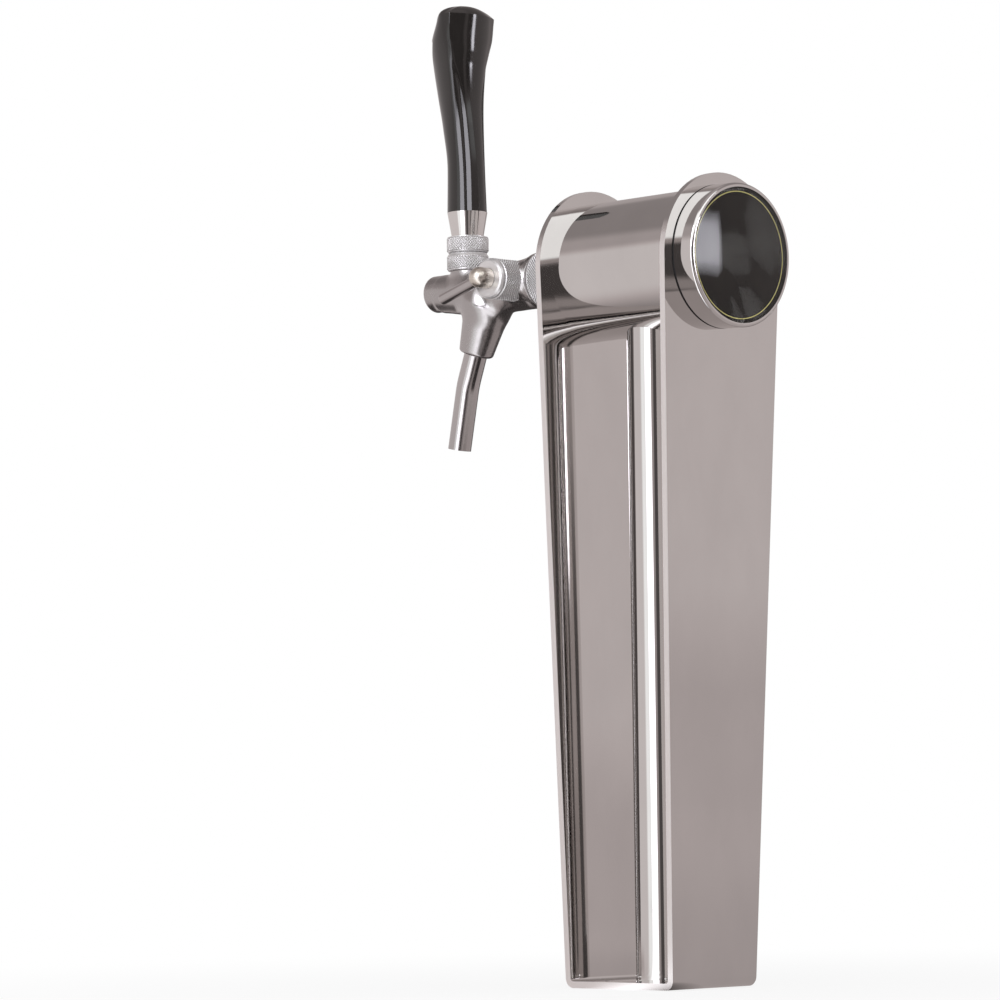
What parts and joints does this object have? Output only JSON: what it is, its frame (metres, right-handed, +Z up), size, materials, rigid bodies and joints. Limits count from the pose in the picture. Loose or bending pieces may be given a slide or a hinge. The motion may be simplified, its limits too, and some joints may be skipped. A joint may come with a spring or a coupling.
{
  "type": "beer tower dispenser",
  "caption": "Polished steel beer tower: keyhole-shaped bent strip with a column, a head tube with a round badge, and a flow control tap with a tall dark handle and bent spout.",
  "frame": {"origin": "middle of the foot's underside, on the column's axis", "axes": "+Z up, -Y towards the tap and spout, +Y towards the badge, +X on the side of the flow compensator"},
  "size_m": [0.1, 0.2667, 0.6134],
  "materials": {
    "polished_steel": "mirror polished",
    "plain_steel": "machined",
    "handle_black": "gloss",
    "black_rubber": "matte",
    "badge_dark": "gloss",
    "clear_lens": "polished"
  },
  "bodies": {
    "tower": {"tower_frame": "polished_steel", "head_tube": "polished_steel", "column_tube": "polished_steel", "badge_clamp_ring": "polished_steel", "shank": "polished_steel", "coupling_nut": "polished_steel", "tap_body": "polished_steel", "front_cap": "polished_steel", "bonnet_collar": "polished_steel", "spout": "polished_steel", "spindle_nut": "polished_steel", "badge_housing": "plain_steel", "housing_screws": "plain_steel", "inner_washer": "plain_steel", "shank_nut": "plain_steel", "retaining_ring": "plain_steel", "line_elbow": "plain_steel", "inlet_connector": "plain_steel", "beer_line": "plain_steel", "badge_seal": "black_rubber", "panel_gasket": "black_rubber", "tail_washer": "black_rubber", "front_cap_seal": "black_rubber", "lever_seal": "black_rubber", "spout_seal": "black_rubber", "spindle_seal": "black_rubber", "badge_disc": "badge_dark", "badge_lens": "clear_lens"},
    "handle": {"lever_stem": "plain_steel", "handle_collar": "polished_steel", "handle_ferrule": "polished_steel", "handle_insert": "plain_steel", "handle": "handle_black"},
    "valve": {"valve_shaft": "plain_steel", "valve_seal": "black_rubber"},
    "compensator": {"compensator_spindle": "polished_steel", "compensator_lever": "polished_steel"},
    "cone": {"compensator_cone": "plain_steel"}
  },
  "joints": [
    {"name": "handle_tilt", "type": "hinge", "parent": "tower", "child": "handle", "pos_m": [0, -0.1615, 0.447], "axis": [1, 0, 0], "range_deg": [0, 25]},
    {"name": "valve_slide", "type": "slide", "parent": "tower", "child": "valve", "axis": [0, 1, 0], "range_m": [0, 0.0062]},
    {"name": "compensator_turn", "type": "hinge", "parent": "tower", "child": "compensator", "pos_m": [0.03, -0.108, 0.433], "axis": [1, 0, 0], "range_deg": [-35, 55]},
    {"name": "cone_slide", "type": "slide", "parent": "tower", "child": "cone", "axis": [0, 1, 0], "range_m": [-0.0017, 0.0027]}
  ],
  "couplings": [
    {"joint": "valve_slide", "follows": "handle_tilt", "m_per_rad": 0.014},
    {"joint": "cone_slide", "follows": "compensator_turn", "m_per_rad": 0.0027}
  ]
}
